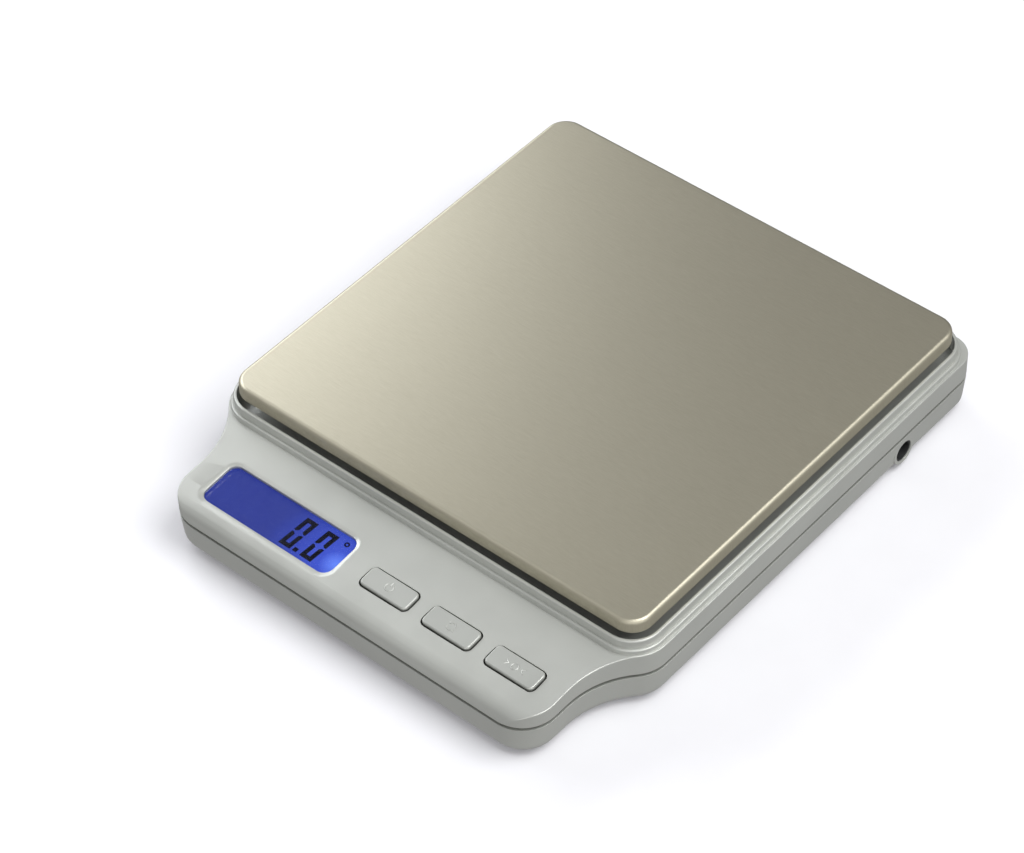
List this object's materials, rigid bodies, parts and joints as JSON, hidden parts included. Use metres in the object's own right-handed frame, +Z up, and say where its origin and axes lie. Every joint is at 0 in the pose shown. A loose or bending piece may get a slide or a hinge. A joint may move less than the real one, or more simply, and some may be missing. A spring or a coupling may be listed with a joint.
{
  "type": "digital gram scale",
  "caption": "Low bench scale with a square steel pan, a blue backlit display and push keys on a sloping panel; runs on round cells or a plug-in supply.",
  "frame": {"origin": "centre of the footprint, on the surface that the feet stand on", "axes": "+Z up, the control panel faces -Y, +X is to the right of someone facing the panel; the power socket is on the +X side"},
  "size_m": [0.1644, 0.1986, 0.032],
  "materials": {
    "casing_plastic": "satin silver-grey paint over moulded plastic",
    "key_plastic": "satin silver-grey paint over moulded plastic",
    "pan_steel": "fine brushed stainless steel",
    "clear_window": "clear polished window",
    "lcd_glass": "blue display glass",
    "backlight": "lit blue light guide",
    "white_plastic": "white moulded",
    "zebra_rubber": "striped elastomer",
    "circuit_board": "green solder mask",
    "black_epoxy": "moulded chip body",
    "capacitor_can": "sleeved can",
    "bright_metal": "nickel plated",
    "spring_steel": "nickel plated wire",
    "steel_screws": "zinc plated",
    "plate_steel": "zinc plated sheet",
    "foot_rubber": "matte",
    "foam_pads": "closed-cell foam",
    "tray_plastic": "unpainted grey moulding",
    "black_plastic": "moulded",
    "plunger_plastic": "moulded",
    "red_lead": "PVC insulation",
    "black_lead": "PVC insulation",
    "grey_cable": "PVC sheath",
    "cell_label": "printed film sleeve",
    "beam_aluminium": "machined",
    "gauge_silicone": "silicone sealant"
  },
  "bodies": {
    "housing": {"upper_casing": "casing_plastic", "lower_casing": "casing_plastic", "casing_screws": "steel_screws", "rubber_feet": "foot_rubber", "lcd_window": "clear_window", "lcd_glass": "lcd_glass", "lcd_backlight": "backlight", "lcd_frame": "white_plastic", "zebra_strip": "zebra_rubber", "main_pcb": "circuit_board", "pcb_screws": "steel_screws", "processor_chip": "black_epoxy", "converter_chip": "black_epoxy", "capacitors": "capacitor_can", "crystal": "bright_metal", "power_switch": "black_plastic", "unit_switch": "black_plastic", "tare_switch": "black_plastic", "dc_jack": "black_plastic", "dc_jack_pin": "bright_metal", "dc_lead_red": "red_lead", "dc_lead_black": "black_lead", "battery_1": "cell_label", "battery_2": "cell_label", "battery_3": "cell_label", "battery_springs": "spring_steel", "battery_contacts": "bright_metal", "battery_lead_red": "red_lead", "battery_lead_black": "black_lead", "load_cell": "beam_aluminium", "strain_gauges": "gauge_silicone", "load_cell_cable": "grey_cable", "load_cell_base_plate": "plate_steel", "load_cell_base_screws": "steel_screws", "overload_stop_screw": "steel_screws"},
    "platform": {"platform_pan": "pan_steel", "pan_pads": "foam_pads", "platform_carrier": "tray_plastic", "load_cell_top_plate": "plate_steel", "platform_screws": "steel_screws"},
    "power_key": {"power_button": "key_plastic", "power_plunger": "plunger_plastic"},
    "unit_key": {"unit_button": "key_plastic", "unit_plunger": "plunger_plastic"},
    "tare_key": {"tare_button": "key_plastic", "tare_plunger": "plunger_plastic"},
    "door": {"battery_door": "casing_plastic", "door_pad": "foam_pads"}
  },
  "joints": [
    {"name": "pan_load", "type": "slide", "parent": "housing", "child": "platform", "axis": [0, 0, -1], "range_m": [0, 0.0005], "stiffness_N_per_m": 40000, "deforming": ["load_cell"]},
    {"name": "power_key_press", "type": "slide", "parent": "housing", "child": "power_key", "axis": [0, 0.0872, -0.9962], "range_m": [0, 0.0005], "stiffness_N_per_m": 3000, "springref_m": -0.0003},
    {"name": "unit_key_press", "type": "slide", "parent": "housing", "child": "unit_key", "axis": [0, 0.0872, -0.9962], "range_m": [0, 0.0005], "stiffness_N_per_m": 3000, "springref_m": -0.0003},
    {"name": "tare_key_press", "type": "slide", "parent": "housing", "child": "tare_key", "axis": [0, 0.0872, -0.9962], "range_m": [0, 0.0005], "stiffness_N_per_m": 3000, "springref_m": -0.0003},
    {"name": "battery_door_hinge", "type": "hinge", "parent": "housing", "child": "door", "pos_m": [-0.0214, 0.029, 0.0026], "axis": [0, -1, 0], "range_deg": [0, 85]}
  ]
}
